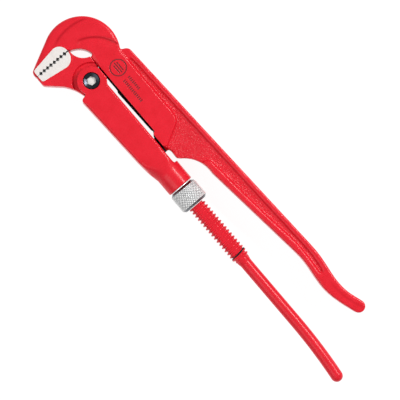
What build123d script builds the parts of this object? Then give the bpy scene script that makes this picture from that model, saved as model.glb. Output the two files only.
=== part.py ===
from build123d import *
import math
import os

# Swedish-pattern pipe wrench with 90 degree jaws, jaws closed, lying flat.
#
# Every shape is drawn about the jaw pivot: +X runs towards the handles, +Y towards the long leg and
# +Z out of the upper face. The finished wrench is then moved so that its origin is the middle of its
# underside.

# Thicknesses, as half sizes about the mid-plane
JAW_HALF = 7.6
LAND_HALF = 8.25
PAD_HALF = 7.9
HANDLE_HALF = 7.0
WEB_HALF = 4.8
SEAT_HALF = 7.0
TONGUE_HALF = 2.5
TONGUE_GROOVE_HALF = 2.8
BOSS_HALF = 5.5
CHANNEL_HALF = 5.8
SLEEVE_HALF = 11.4

# Jaws
TOOTH_X = -27.8
CREST_GAP = 0.3
TOOTH_COUNT = 8
TOOTH_PITCH = 3.18
TOOTH_HALF_DIAGONAL = 1.42
FIRST_TOOTH_Y = -2.2
TOOTH_SLANT = 5.5
GROOVE_START_Y = -0.4
GROOVE_START_HALF = 0.5
JAW_TIP_Y = -29.1
THROAT_Y = 1.3
HOOK_TOP = (-19.5, 35.5)
NOTCH = (-4.2, 31.0)

# Long leg
RAIL_START_X = -4.2
RAIL_Y = 11.15
HEEL_Y = 10.9
SEAT_Y = 11.05
PAD_TOP_Y = 29.8
RIB_START = (0.6, 36.7)
RIB_END = (196.0, 44.8)
HINGE_X = 68.0
LUG_R = 7.0

# Sleeve, barrel and nut
HEAD_R = 10.65
RECESS_R = 14.0
CHANNEL_END_X = 79.0
FLARE_START_X = 70.0
FLARE_END_X = 88.0
FLARE_START_R = 17.5
BARREL_CORNER_X = 84.0
BARREL_END_X = 100.3
BARREL_R = 10.2
NUT_START_X = 101.0
NUT_END_X = 117.8
NUT_R = 11.2
NUT_FACE_R = 8.8
NUT_COLLAR_START_X = 103.0
NUT_COLLAR_END_X = 115.5
NUT_SEAT_GAP = 0.1
SPIGOT_R = 8.0
SPIGOT_START_X = 94.0
SNAP_RING_X = 96.4
SNAP_RING_WIDTH = 1.0
SNAP_RING_INSIDE = 0.6
SNAP_RING_OUTSIDE = 0.7
CHEEK_CHAMFER = 1.2

# Threaded leg
THREAD_PITCH = 3.0
THREAD_CREST_R = 6.6
THREAD_ROOT_R = 5.1
THREAD_START_X = 86.0
THREAD_END_X = 171.0
THREAD_FLAT = 5.45
CREST_WIDTH = 0.9
ROOT_WIDTH = 2.25
FORK_HALF = 5.4
FORK_HEIGHT = 13.0
FORK_END_X = 79.0
FORK_SLOT_HALF = 2.65
FORK_SLOT_END_X = 75.8
ROD_R = 4.5
ROD_START_X = 174.0
BEND_START_X = 230.0
BEND_R = 416.0
BEND_END_X = 279.3

# Pins and clearances
RUNNING_GAP = 0.05
THREAD_GAP = 0.12
BARREL_GAP = 0.2
BOLT_SEAT_GAP = 0.2
SNAP_RING_GAP = 0.1
EDGE_BREAK = 0.4
HINGE_PIN_R = 3.0
BOLT_R = 4.0
BOLT_HEAD_R = 6.0
BOLT_HEAD_DEPTH = 4.2
BOLT_TAIL_R = 3.0
BOLT_NUT_R = 6.0
BOLT_NUT_DEPTH = 4.0
SOCKET_ACROSS = 6.0
STOP_RING_X = 165.0
STOP_RING_R = 5.8
STOP_WIRE_R = 0.6
STOP_RING_TURN = 340.0

TALL = 60.0


def plate(half_thickness, *lines):
    """A closed outline, thickened equally to both sides of the mid-plane."""
    edges = [edge for line in lines for edge in line.edges()]
    return extrude(make_face(edges), amount=half_thickness, both=True)


def disc(radius, half_thickness, x=0.0, y=0.0):
    """A disc across the mid-plane."""
    return Pos(x, y, 0) * Cylinder(radius, 2 * half_thickness)


def block(x0, x1, y0, y1, half_thickness):
    """A rectangular block across the mid-plane."""
    middle = Pos((x0 + x1) / 2, (y0 + y1) / 2, 0)
    return middle * Box(x1 - x0, y1 - y0, 2 * half_thickness)


def beyond(half_thickness, shape):
    """What a shape has further from the mid-plane than half_thickness."""
    return shape - Box(1000, 1000, 2 * half_thickness)


def upright(radius, z_low, z_high, x=0.0):
    """A round bar along Z."""
    bar = Cylinder(radius, z_high - z_low, align=(Align.CENTER, Align.CENTER, Align.MIN))
    return Pos(x, 0, z_low) * bar


def turned(*profile):
    """A body turned about the X axis, from points (x, radius)."""
    return revolve(make_face(Polyline(*profile, close=True).edges()), axis=Axis.X)


def bar_along_x(radius, start_x, end_x):
    """A round bar on the line through the jaw pivot."""
    return turned((start_x, 0), (start_x, radius), (end_x, radius), (end_x, 0))


# ---------------------------------------------------------------- jaws


def tooth_grooves():
    """Slanting square grooves through both jaws, with a corner in each, that leave the teeth."""
    side = TOOTH_HALF_DIAGONAL * math.sqrt(2)
    groove = Rot(-TOOTH_SLANT, 0, 0) * Rot(0, 0, 45) * Box(side, side, TALL)
    first_y = FIRST_TOOTH_Y - LAND_HALF * math.tan(math.radians(TOOTH_SLANT))
    ys = [first_y - i * TOOTH_PITCH for i in range(TOOTH_COUNT)]
    mouth = block(
        TOOTH_X - GROOVE_START_HALF, TOOTH_X + GROOVE_START_HALF, GROOVE_START_Y, 3.0, TALL
    )
    return [Pos(TOOTH_X, y, 0) * groove for y in ys] + [mouth]


def jaw_land(side, top_y, bulge_x, tip_x):
    """The ground flat beside one jaw's teeth, on both faces. side is -1 for the hook's jaw."""
    crest_x = TOOTH_X + side * CREST_GAP / 2
    shoulder = (bulge_x, -7.6)
    return plate(
        LAND_HALF,
        Line((crest_x, -27.6), (crest_x, top_y)),
        ThreePointArc((crest_x, top_y), (TOOTH_X + side * 5.9, -1.1), shoulder),
        Polyline(shoulder, (tip_x, -25.8), (tip_x - side * 1.1, -27.4), (crest_x, -27.6)),
    )


def throat_arcs():
    """The inside of the hook, from the teeth round to the rail."""
    return [
        ThreePointArc((-27.1, 2.1), (-21.9, 10.3), (-15.3, 13.3)),
        ThreePointArc((-15.3, 13.3), (-9.6, 13.15), (RAIL_START_X, RAIL_Y)),
    ]


def hook():
    """The hook jaw, from the notch at the rib round to the teeth."""
    crest_x = TOOTH_X - CREST_GAP / 2
    return plate(
        JAW_HALF,
        *throat_arcs(),
        Line((RAIL_START_X, RAIL_Y), NOTCH),
        ThreePointArc(NOTCH, HOOK_TOP, (-45.6, -3.2)),
        Polyline((-45.6, -3.2), (-34.1, -26.2), (-32.7, -28.4), (-31.0, JAW_TIP_Y)),
        Polyline((-31.0, JAW_TIP_Y), (crest_x, JAW_TIP_Y), (crest_x, THROAT_Y), (-27.1, 2.1)),
    )


def heel_seat():
    """The seat inside the hook, behind the heel of the lower jaw."""
    return plate(
        SEAT_HALF,
        Polyline((-4.0, SEAT_Y), (-14.6, SEAT_Y), (-13.8, 13.0), (-13.0, 14.5), (-4.0, 14.5)),
        Line((-4.0, 14.5), (-4.0, SEAT_Y)),
    )


# ---------------------------------------------------------------- long leg


def pad_edge():
    """The far end of the raised pad, from its top edge down to the rail."""
    return [
        Line((RAIL_START_X, PAD_TOP_Y), (55.0, PAD_TOP_Y)),
        ThreePointArc((55.0, PAD_TOP_Y), (60.5, 28.2), (63.8, 24.4)),
        Line((63.8, 24.4), (70.9, 11.0)),
    ]


def pad():
    """The thick shank between the hook and the handle, with the stepped rail along it."""
    return plate(
        PAD_HALF,
        *pad_edge(),
        Polyline((70.9, 11.0), (69.9, 8.9), (59.6, 8.65), (56.3, RAIL_Y), (RAIL_START_X, RAIL_Y)),
        Line((RAIL_START_X, RAIL_Y), (RAIL_START_X, PAD_TOP_Y)),
    )


def handle_outline():
    """The long leg from the hook's notch to the rounded end of the handle, and back."""
    return [
        Polyline((RAIL_START_X, RAIL_Y), NOTCH, (-2.8, 33.8)),
        ThreePointArc((-2.8, 33.8), (-1.4, 35.7), RIB_START),
        Line(RIB_START, RIB_END),
        Spline(
            RIB_END,
            (212.0, 43.8),
            (225.5, 42.2),
            (239.0, 43.3),
            (250.2, 46.8),
            tangents=[(1, 0.04), (1, 0.28)],
        ),
        ThreePointArc((250.2, 46.8), (255.7, 42.8), (251.6, 37.3)),
        Spline(
            (251.6, 37.3),
            (240.8, 33.8),
            (224.8, 30.95),
            (208.3, 32.2),
            (192.0, 32.6),
            tangents=[(-1, -0.35), (-1, -0.1)],
        ),
        Line((192.0, 32.6), (108.0, 23.75)),
        ThreePointArc((108.0, 23.75), (92.4, 20.4), (84.6, 13.0)),
        Polyline((84.6, 13.0), (82.6, 11.1), (76.2, 11.4), (71.8, 10.0), (69.9, 8.9)),
        Polyline((69.9, 8.9), (59.6, 8.65), (56.3, RAIL_Y), (RAIL_START_X, RAIL_Y)),
    ]


def handle_valley():
    """The sunk web between the two ribs. It opens through the lower edge between pad and handle."""
    return plate(
        HANDLE_HALF + 1,
        Line((6.0, PAD_TOP_Y + 0.6), (55.0, PAD_TOP_Y + 0.6)),
        ThreePointArc((55.0, PAD_TOP_Y + 0.6), (61.0, 28.6), (64.4, 24.6)),
        Polyline((64.4, 24.6), (71.6, 11.2), (72.4, 6.0), (92.5, 10.0), (97.4, 24.2)),
        ThreePointArc((97.4, 24.2), (98.8, 27.2), (102.0, 28.6)),
        Spline(
            (102.0, 28.6),
            (139.3, 31.9),
            (168.5, 35.1),
            (183.0, 37.0),
            (194.0, 37.3),
            (205.0, 36.9),
            (213.2, 36.1),
            tangents=[(1, 0.09), (1, -0.12)],
        ),
        ThreePointArc((213.2, 36.1), (215.0, 37.5), (213.2, 38.8)),
        Spline((213.2, 38.8), (205.0, 39.9), (190.0, 40.4), tangents=[(-1, 0.2), (-1, -0.02)]),
        Line((190.0, 40.4), (7.0, 33.3)),
        ThreePointArc((7.0, 33.3), (5.0, 31.9), (6.0, PAD_TOP_Y + 0.6)),
    )


def lug():
    """The thin eye under the shank, which enters the sleeve and takes the hinge pin."""
    neck = plate(
        TONGUE_HALF,
        Polyline((61.2, 12.5), (HINGE_X - LUG_R, 0.0), (HINGE_X + LUG_R, 0.0), (73.6, 12.5)),
        Line((73.6, 12.5), (61.2, 12.5)),
    )
    eye = disc(LUG_R, TONGUE_HALF, HINGE_X)
    return neck + eye - disc(HINGE_PIN_R + RUNNING_GAP, TALL, HINGE_X)


def rail_tongue():
    """The thin tongue along the rail, on which the lower jaw's heel is guided."""
    return plate(
        TONGUE_HALF,
        Polyline((RAIL_START_X, 12.0), (RAIL_START_X, 10.2), (17.0, 10.2), (18.4, 9.35)),
        Polyline((18.4, 9.35), (55.6, 10.2), (57.0, 12.0), (RAIL_START_X, 12.0)),
    )


def long_leg():
    """Hook jaw, shank and handle, forged in one piece."""
    handle = plate(HANDLE_HALF, *handle_outline()) - beyond(WEB_HALF, handle_valley())
    land = jaw_land(-1, 0.9, -35.7, -32.9)
    leg = hook() + handle + pad() + heel_seat() + land + rail_tongue() + lug()
    return leg - tooth_grooves()


# ---------------------------------------------------------------- lower jaw


def lower_jaw():
    """The moving jaw: toothed at one end, with a boss that turns between the sleeve's cheeks."""
    crest_x = TOOTH_X + CREST_GAP / 2
    body = plate(
        JAW_HALF,
        Polyline((crest_x, -28.9), (crest_x, THROAT_Y), (-27.0, 2.0), (-25.8, 2.0)),
        ThreePointArc((-25.8, 2.0), (-18.9, 4.35), (-14.5, HEEL_Y)),
        Polyline((-14.5, HEEL_Y), (-5.0, HEEL_Y), (0.0, 0.0), (3.9, -8.6), (4.4, -10.9)),
        ThreePointArc((4.4, -10.9), (-4.0, -14.0), (-10.1, -18.1)),
        Polyline((-10.1, -18.1), (-19.0, -27.7), (-20.4, -28.9), (crest_x, -28.9)),
    )
    boss = disc(HEAD_R - 1.0, BOSS_HALF)
    sunk = beyond(BOSS_HALF, disc(RECESS_R, TALL))
    tongue_groove = block(-16, 12, 9.0, 12, TONGUE_GROOVE_HALF)
    bore = disc(BOLT_R + RUNNING_GAP, TALL)
    jaw = body + boss - sunk - tongue_groove - bore + jaw_land(1, 0.8, -19.3, -22.1)
    return jaw - tooth_grooves()


# ---------------------------------------------------------------- sleeve


def sleeve_outline():
    """The sleeve's side view, without the barrel."""
    return [
        ThreePointArc((-3.5, 10.06), (-HEAD_R, 0), (4.9, -9.46)),
        Polyline((4.9, -9.46), (6.0, -13.4)),
        ThreePointArc((6.0, -13.4), (6.9, -14.5), (8.4, -14.8)),
        Line((8.4, -14.8), (70.0, -12.45)),
        ThreePointArc((70.0, -12.45), (79.0, -11.6), (88.0, -9.8)),
        Polyline((88.0, -9.8), (88.0, 7.3), (9.2, 7.3), (5.4, 10.06), (-3.5, 10.06)),
    ]


def barrel():
    """The round end of the sleeve, which carries the nut."""
    neck_r = BARREL_R - 3
    return turned(
        (CHANNEL_END_X, 0),
        (CHANNEL_END_X, neck_r),
        (BARREL_CORNER_X, neck_r),
        (BARREL_CORNER_X, BARREL_R),
        (BARREL_END_X - EDGE_BREAK, BARREL_R),
        (BARREL_END_X, BARREL_R - EDGE_BREAK),
        (BARREL_END_X, 0),
    )


def sleeve_bores():
    """The threaded leg's way through the barrel, and the nut's seat with its ring groove."""
    flats = Box(1000, 1000, 2 * (THREAD_FLAT + BARREL_GAP))
    way = bar_along_x(THREAD_CREST_R + BARREL_GAP, CHANNEL_END_X - 1, BARREL_END_X + 1) & flats
    seat = bar_along_x(SPIGOT_R + RUNNING_GAP, SPIGOT_START_X - BARREL_GAP, BARREL_END_X + 1)
    ring_start_x = SNAP_RING_X - SNAP_RING_WIDTH / 2
    groove = bar_along_x(SPIGOT_R + SNAP_RING_OUTSIDE, ring_start_x, ring_start_x + SNAP_RING_WIDTH)
    return way + seat + groove


def end_flare():
    """What is cut away round the cheeks so that they fall in a curve to the barrel."""
    start = (FLARE_START_X, FLARE_START_R)
    end = (FLARE_END_X, BARREL_R - 0.2)
    curve = ThreePointArc(start, (78.0, 13.3), end)
    outside = Polyline(end, (FLARE_END_X, 30.0), (FLARE_START_X, 30.0), start)
    return revolve(make_face([*curve.edges(), *outside.edges()]), axis=Axis.X)


def bolt_seats():
    """The seats of the pivot bolt's head and nut in the outer faces of the cheeks."""
    head = upright(BOLT_HEAD_R + BOLT_SEAT_GAP, SLEEVE_HALF - BOLT_HEAD_DEPTH, TALL)
    nut = upright(BOLT_NUT_R + BOLT_SEAT_GAP, -TALL, BOLT_NUT_DEPTH - SLEEVE_HALF)
    return head + nut


def sleeve():
    """Two cheeks joined by a back web, with a barrel at the end."""
    body = plate(SLEEVE_HALF, *sleeve_outline())
    outer_edges = body.edges().filter_by(
        lambda edge: edge.length > 50 and abs(edge.center().Z) > CHANNEL_HALF
    )
    body = chamfer(outer_edges, CHEEK_CHAMFER)
    channel = plate(
        CHANNEL_HALF,
        Polyline((-20, -20), (5.2, -20), (5.8, -11.8), (CHANNEL_END_X, -9.2)),
        Polyline((CHANNEL_END_X, -9.2), (CHANNEL_END_X, 20), (-20, 20), (-20, -20)),
    )
    bolt_hole = disc(BOLT_R + RUNNING_GAP, TALL)
    return body - end_flare() - channel + barrel() - sleeve_bores() - bolt_hole - bolt_seats()


def pivot_bolt():
    """Cylinder-head bolt with a hexagon socket. Its tail is screwed into the nut."""
    head_low = SLEEVE_HALF - BOLT_HEAD_DEPTH
    tail_high = BOLT_NUT_DEPTH - SLEEVE_HALF
    head = upright(BOLT_HEAD_R, head_low, SLEEVE_HALF - EDGE_BREAK)
    head = chamfer(head.edges().group_by(Axis.Z)[-1], EDGE_BREAK)
    shank = upright(BOLT_R, tail_high, head_low)
    tail = upright(BOLT_TAIL_R, EDGE_BREAK - SLEEVE_HALF, tail_high)
    socket_floor = head_low + 1.0
    hexagon = RegularPolygon(SOCKET_ACROSS / 2, 6, major_radius=False)
    return head + shank + tail - extrude(Pos(0, 0, socket_floor) * hexagon, amount=TALL)


def pivot_nut():
    """Round nut, sunk in the lower cheek, with two holes for a pin spanner."""
    body = upright(BOLT_NUT_R, EDGE_BREAK - SLEEVE_HALF, BOLT_NUT_DEPTH - SLEEVE_HALF)
    spanner_holes = [upright(0.8, -SLEEVE_HALF, 2.0 - SLEEVE_HALF, x) for x in (-4.5, 4.5)]
    return body - disc(BOLT_TAIL_R, TALL) - spanner_holes


# ---------------------------------------------------------------- threaded leg and nut


def helical_ridge(start_x, end_x, root_r, crest_r, root_width, crest_width):
    """A right-hand thread ridge about the X axis, in step with x = 0 at the lower face."""
    length = end_x - start_x
    path = Helix(pitch=THREAD_PITCH, height=length, radius=root_r)
    tooth = Polyline(
        (0, -root_width / 2),
        (crest_r - root_r, -crest_width / 2),
        (crest_r - root_r, crest_width / 2),
        (0, root_width / 2),
        close=True,
    )
    section = Plane(origin=path @ 0, x_dir=(1, 0, 0), z_dir=(0, -1, 0)) * make_face(tooth.edges())
    ridge = sweep(section, path=path, is_frenet=True)
    phase = 360.0 * start_x / THREAD_PITCH
    return Pos(start_x, 0, 0) * Rot(phase, 0, 0) * Rot(0, 90, 0) * ridge


def threaded_stretch():
    """Single-start right-hand thread with two flats."""
    core = bar_along_x(THREAD_ROOT_R, FORK_END_X - 1, THREAD_END_X)
    ridge = helical_ridge(
        THREAD_START_X, THREAD_END_X - 2, THREAD_ROOT_R - 0.1, THREAD_CREST_R, ROOT_WIDTH, CREST_WIDTH
    )
    return (core + ridge) & Box(1000, 1000, 2 * THREAD_FLAT)


def rod():
    """The plain round handle, gently bent near its rounded end."""
    turn = math.asin((BEND_END_X - BEND_START_X) / BEND_R)
    bend_end = (BEND_END_X, BEND_R * (math.cos(turn) - 1))
    straight = Line((ROD_START_X, 0), (BEND_START_X, 0))
    bend = TangentArc((BEND_START_X, 0), bend_end, tangent=(1, 0))
    section = Plane(origin=(ROD_START_X, 0, 0), z_dir=(1, 0, 0)) * Circle(ROD_R)
    bar = sweep(section, path=Wire([straight.edge(), bend.edge()]))
    runout = turned(
        (THREAD_END_X, 0), (THREAD_END_X, THREAD_ROOT_R), (ROD_START_X, ROD_R), (ROD_START_X, 0)
    )
    return runout + bar + Pos(*bend_end, 0) * Sphere(ROD_R)


def fork():
    """The forked end, which straddles the long leg's lug."""
    straight = block(HINGE_X, FORK_END_X, -FORK_HEIGHT / 2, FORK_HEIGHT / 2, FORK_HALF)
    rounded = disc(FORK_HEIGHT / 2, FORK_HALF, HINGE_X)
    slot = block(0, FORK_SLOT_END_X, -TALL, TALL, FORK_SLOT_HALF)
    hole = disc(HINGE_PIN_R, TALL, HINGE_X)
    return straight + rounded - slot - hole


def threaded_leg():
    """Fork, thread and rod handle in one piece."""
    return fork() + threaded_stretch() + rod()


def leg_hinge_pin():
    """The pin in the fork, held in by the sleeve's cheeks."""
    pin = disc(HINGE_PIN_R, FORK_HALF + 0.2, HINGE_X)
    return chamfer(pin.edges().filter_by(GeomType.CIRCLE), 0.3)


def stop_ring():
    """Wire ring in the thread, one turn less a gap at the lower face."""
    height = THREAD_PITCH * STOP_RING_TURN / 360.0
    path = Helix(pitch=THREAD_PITCH, height=height, radius=STOP_RING_R)
    section = Plane(origin=path @ 0, x_dir=(1, 0, 0), z_dir=path % 0) * Circle(STOP_WIRE_R)
    wire = sweep(section, path=path, is_frenet=True)
    gap_turn = (360.0 - STOP_RING_TURN) / 2
    start_x = STOP_RING_X - height / 2
    return Pos(start_x, 0, 0) * Rot(gap_turn, 0, 0) * Rot(0, 90, 0) * wire


def ring_band(start_x, end_x, inner_r, outer_r):
    """A ring of rectangular section about the X axis."""
    return turned((start_x, inner_r), (start_x, outer_r), (end_x, outer_r), (end_x, inner_r))


def adjusting_nut():
    """Captive nut: a spigot in the barrel and a collar that the fingers turn."""
    seat_x = BARREL_END_X + NUT_SEAT_GAP
    blank = turned(
        (SPIGOT_START_X, 0),
        (SPIGOT_START_X, SPIGOT_R - EDGE_BREAK),
        (SPIGOT_START_X + EDGE_BREAK, SPIGOT_R),
        (seat_x, SPIGOT_R),
        (seat_x, NUT_FACE_R),
        (NUT_START_X, NUT_FACE_R),
        (NUT_COLLAR_START_X, NUT_R),
        (NUT_COLLAR_END_X, NUT_R),
        (NUT_END_X, NUT_FACE_R),
        (NUT_END_X, 0),
    )
    groove_half = SNAP_RING_WIDTH / 2 + SNAP_RING_GAP
    groove_r = SPIGOT_R - SNAP_RING_INSIDE - SNAP_RING_GAP
    groove = ring_band(SNAP_RING_X - groove_half, SNAP_RING_X + groove_half, groove_r, NUT_R)
    bore = bar_along_x(THREAD_ROOT_R + THREAD_GAP, SPIGOT_START_X - 1, NUT_END_X + 1)
    relief = bar_along_x(THREAD_CREST_R + BARREL_GAP, SPIGOT_START_X - 1, NUT_START_X)
    thread = helical_ridge(
        NUT_START_X - 2 * THREAD_PITCH,
        NUT_END_X + 2 * THREAD_PITCH,
        THREAD_ROOT_R,
        THREAD_CREST_R + THREAD_GAP,
        ROOT_WIDTH + 2 * THREAD_GAP,
        CREST_WIDTH + 2 * THREAD_GAP,
    )
    return blank - groove - bore - relief - thread


def nut_snap_ring():
    """Split ring half in the barrel and half in the spigot, which keeps the nut on."""
    half = SNAP_RING_WIDTH / 2
    inner_r = SPIGOT_R - SNAP_RING_INSIDE
    ring = ring_band(SNAP_RING_X - half, SNAP_RING_X + half, inner_r, SPIGOT_R + SNAP_RING_OUTSIDE)
    split = block(SNAP_RING_X - 1, SNAP_RING_X + 1, -TALL, 0, 0.8)
    return ring - split


# ---------------------------------------------------------------- assembly


def main():
    """Builds every piece, moves the wrench onto its origin and writes one file for each piece."""
    pieces = {
        "long_leg": long_leg(),
        "lower_jaw": lower_jaw(),
        "sleeve": sleeve(),
        "adjusting_nut": adjusting_nut(),
        "nut_snap_ring": nut_snap_ring(),
        "threaded_leg": threaded_leg(),
        "stop_ring": stop_ring(),
        "leg_hinge_pin": leg_hinge_pin(),
        "pivot_bolt": pivot_bolt(),
        "pivot_nut": pivot_nut(),
    }
    boxes = [piece.bounding_box() for piece in pieces.values()]
    middle_x = (min(b.min.X for b in boxes) + max(b.max.X for b in boxes)) / 2
    middle_y = (min(b.min.Y for b in boxes) + max(b.max.Y for b in boxes)) / 2
    place = Pos(-middle_x, -middle_y, SLEEVE_HALF)

    os.makedirs("parts", exist_ok=True)
    for name, piece in pieces.items():
        export_step(place * piece, f"parts/{name}.step")
    print("jaw pivot", (-middle_x, -middle_y, SLEEVE_HALF))
    print("leg hinge", (HINGE_X - middle_x, -middle_y, SLEEVE_HALF))


main()
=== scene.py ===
"""Pipe wrench: enamelled forgings with ground jaws, a knurled nut and a threaded leg.

Sizes are in millimetres about the jaw pivot, as the wrench is drawn: +X towards the handles,
+Y towards the long leg, +Z out of the upper face. world() turns them into the frame's metres.
"""

import math

import bmesh
import bpy
import numpy as np
from mathutils import Matrix, Vector

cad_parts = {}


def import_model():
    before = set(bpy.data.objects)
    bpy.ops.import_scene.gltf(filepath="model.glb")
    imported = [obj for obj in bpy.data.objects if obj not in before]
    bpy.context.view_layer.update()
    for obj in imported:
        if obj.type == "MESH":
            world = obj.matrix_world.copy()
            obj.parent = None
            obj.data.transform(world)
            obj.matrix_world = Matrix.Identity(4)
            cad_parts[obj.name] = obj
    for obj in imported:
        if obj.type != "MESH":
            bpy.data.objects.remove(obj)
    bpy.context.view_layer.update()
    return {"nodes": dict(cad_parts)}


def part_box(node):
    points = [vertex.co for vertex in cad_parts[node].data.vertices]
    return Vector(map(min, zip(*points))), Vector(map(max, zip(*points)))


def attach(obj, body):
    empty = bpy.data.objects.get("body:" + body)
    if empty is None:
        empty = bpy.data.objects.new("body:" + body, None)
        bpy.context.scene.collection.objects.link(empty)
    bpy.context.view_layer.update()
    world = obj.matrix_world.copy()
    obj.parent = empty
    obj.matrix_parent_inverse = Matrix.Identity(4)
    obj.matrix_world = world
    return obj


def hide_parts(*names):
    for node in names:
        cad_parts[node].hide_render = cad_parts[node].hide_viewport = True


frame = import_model()

MM = 0.001


def box_middle(node):
    """The middle of a CAD node's box."""
    low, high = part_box(node)
    return (low + high) / 2


PIVOT = box_middle("pivot_bolt")
PIVOT.z = box_middle("long_leg").z

# Forgings: the size of the squares that each is rebuilt from
LEG_VOXEL = 0.6
JAW_VOXEL = 0.35
SLEEVE_VOXEL = 0.4

# Forgings: half thicknesses, and where one face passes into the next
JAW_HALF = 7.6
LAND_HALF = 8.25
PAD_HALF = 7.9
HOOK_END_X = -4.2
WEB_START_X = 80.0
PAD_TOP_Y = 29.4
FACE_BAND = 0.35
RAIL_Y = 11.15
RAIL_START_X = -5.0
RAIL_END_X = 59.0
UPPER_RIB_START_X = 4.0
RIBS_START_X = 72.0
BOSS_R = 14.0
SLEEVE_HALF = 11.4
FLARE_START_X = 68.0
FLARE_END_X = 96.0

# Forgings: the hook's outer edge, and how far it is rounded over
HOOK_BACK = ((-4.2, 31.0), (-19.5, 35.5), (-45.6, -3.2))
HOOK_TIP = [(-34.1, -26.2), (-31.0, -29.1)]
HOOK_ROUND_WIDTH = 3.4
HOOK_ROUND_DROP = 2.6

# Forgings: creases, each an arc through three points and darkened with painted shade (the handle's
# crease is painted shade only, not shaped), and the rims of the ground lands
INNER_CREASE = ((-7.0, 32.6), (-21.0, 24.8), (-28.6, 12.3))
INNER_CREASE_END = (-27.6, 9.4)
INNER_CREASE_DEPTH = 1.1
OUTER_CREASE = ((-36.5, 28.5), (-40.2, 16.0), (-36.6, -5.0))
OUTER_CREASE_DEPTH = 0.45
OUTER_CREASE_HALF = 1.1
OUTER_SLOPE = 0.12
OUTER_SLOPE_WIDTH = 9.0
HANDLE_CREASE = ((218.1, 38.7), (232.5, 38.0), (253.1, 44.1))
HANDLE_CREASE_SHADE = 0.5
CREASE_SHADE_HALF = 0.85
RIM_WIDTH = 2.2
RIM_HEIGHT = 0.5

# Enamel: how rough each face is, how high the rough web reaches, and where there is none: the bare
# rail, black also as painted shade for its gap, and the pad's foot, black as painted shade for the
# gap under it
PAD_ROUGH = 0.06
LOWER_JAW_ROUGH = 0.08
WEB_TOP = 5.6
BARE_RAIL_START_X = -4.3
BARE_RAIL_END_X = 57.6
PAINTED_SHADE_FOOT_START_X = 57.0
PAINTED_SHADE_FOOT_END_X = 76.0
PAINTED_SHADE_FOOT_Y = 9.1

# Ground lands: each jaw's bulge, tip and top, as x, x and y
HOOK_LAND = (-35.7, -32.9, 0.9)
LOWER_LAND = (-19.3, -22.1, 0.8)
LAND_BULGE_Y = -7.6
LAND_SHOULDER = (5.9, -1.1)
LAND_TIP_Y = -25.8
LAND_END_Y = -27.6

# Teeth
TOOTH_X = -27.8
CREST_GAP = 0.3
TOOTH_COUNT = 8
TOOTH_PITCH = 3.18
TOOTH_DEPTH = 1.62
FIRST_TOOTH_Y = -2.2
TOOTH_SLANT = 5.5
MOUTH_Y = -0.4
MOUTH_HALF = 0.5

# Threaded leg
THREAD_PITCH = 3.0
THREAD_CREST_R = 6.6
THREAD_ROOT_R = 5.1
THREAD_START_X = 80.0
THREAD_END_X = 170.0
THREAD_FLAT = 5.25
FLAT_GROOVE = 0.6
ROD_R = 4.5
ROD_START_X = 174.0
ROD_MIDDLE_X = 202.0
FORK_CUT_X = 81.0
BEND_START_X = 230.0
BEND_R = 416.0
BEND_END_X = 279.27

# Nut
NUT_R = 11.2
NUT_SPIGOT_X = 99.0
NUT_SPIGOT_R = 7.9
NUT_SEAT_X = 100.4
NUT_FRONT_X = 101.0
NUT_MIDDLE_X = 108.0
NUT_FRONT_R = 8.8
NUT_BEVEL_R = 10.9
FRONT_BEVEL_END_X = 102.9
BACK_BEVEL_START_X = 115.6
BACK_BEVEL_END_X = 117.4
BACK_BEVEL_END_R = 9.0
NUT_BACK_X = 117.8
NUT_BORE_R = 6.2
KNURL_DEPTH = 0.5
KNURL_START_X = 103.2
KNURL_END_X = 115.3
KNURL_COUNT = 32
KNURL_LENGTH = 1.7
KNURL_STEPS = 72
NUT_AROUND = 384

# Bolt: heights over the mid-plane
BOLT_HEAD_R = 6.0
BOLT_R = 4.0
BOLT_TAIL_R = 3.0
BOLT_TOP = 11.05
BOLT_HEAD_LOW = 7.2
BOLT_TAIL_TOP = -7.4
BOLT_TAIL_END = -11.0
BOLT_SEAT_R = 6.25
SOCKET_HALF = 3.0
SOCKET_FLOOR = 8.6

# How many points go round a round piece
AROUND = 96

# Stamped mark: a plain ring with three bars, and two rows of plain strokes, each with its
# middle y, start x, end x and count
MARK_PLACE = (5.0, 21.1)
MARK_BARS = ((-1.7, 3.6), (0.0, 4.3), (1.7, 3.6))
MARK_R = 6.4
STROKE = 0.75
MARK_DEPTH = 0.35
DASH_HALF = 1.1
DASH_ROWS = ((22.7, 14.9, 27.3, 8), (18.3, 14.9, 35.3, 13))

# Light. The floor's size and the lamps' sizes and distance are in metres
FLOOR_HALF = 3.0
LAMP_DISTANCE = 1.2
KEY_FROM = (0.05, 0.70, 0.71)
FILL_FROM = (-0.15, -0.62, 0.77)
SKY_ABOVE = 0.50
SKY_LEVEL = 0.40
KEY_POWER = 11.0
KEY_LENGTH = 0.7
KEY_WIDTH = 0.13
FILL_POWER = 4.5
FILL_SIZE = 0.9
FLOOR_GLOW = 0.93
FLOOR_GAP = 0.2

# Camera: angles in degrees, width of the view in millimetres, distance in metres
VIEW_TILT = 2.5
VIEW_ROLL = 49.6
VIEW_WIDTH = 292.0
VIEW_DISTANCE = 1.8
VIEW_TARGET = (116.9, 4.3, 0.0)


def world(x, y, z=0.0):
    """A place about the jaw pivot, in millimetres, as a place in the frame."""
    return PIVOT + Vector((x, y, z)) * MM


def to_local(co):
    """Frame coordinates, as an array, in millimetres about the jaw pivot."""
    return (co - np.array(PIVOT)) / MM


def to_world(co):
    """The reverse of to_local."""
    return co * MM + np.array(PIVOT)


# ---------------------------------------------------------------- mesh tools


def vertex_array(mesh):
    """A mesh's vertices as an array."""
    co = np.empty(len(mesh.vertices) * 3)
    mesh.vertices.foreach_get("co", co)
    return co.reshape(-1, 3)


def normals(mesh):
    """A mesh's normals at its vertices as an array."""
    found = np.empty(len(mesh.vertices) * 3)
    mesh.vertices.foreach_get("normal", found)
    return found.reshape(-1, 3)


def set_vertices(mesh, co):
    """Writes an array back to a mesh's vertices."""
    mesh.vertices.foreach_set("co", co.ravel())
    mesh.update()


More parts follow.
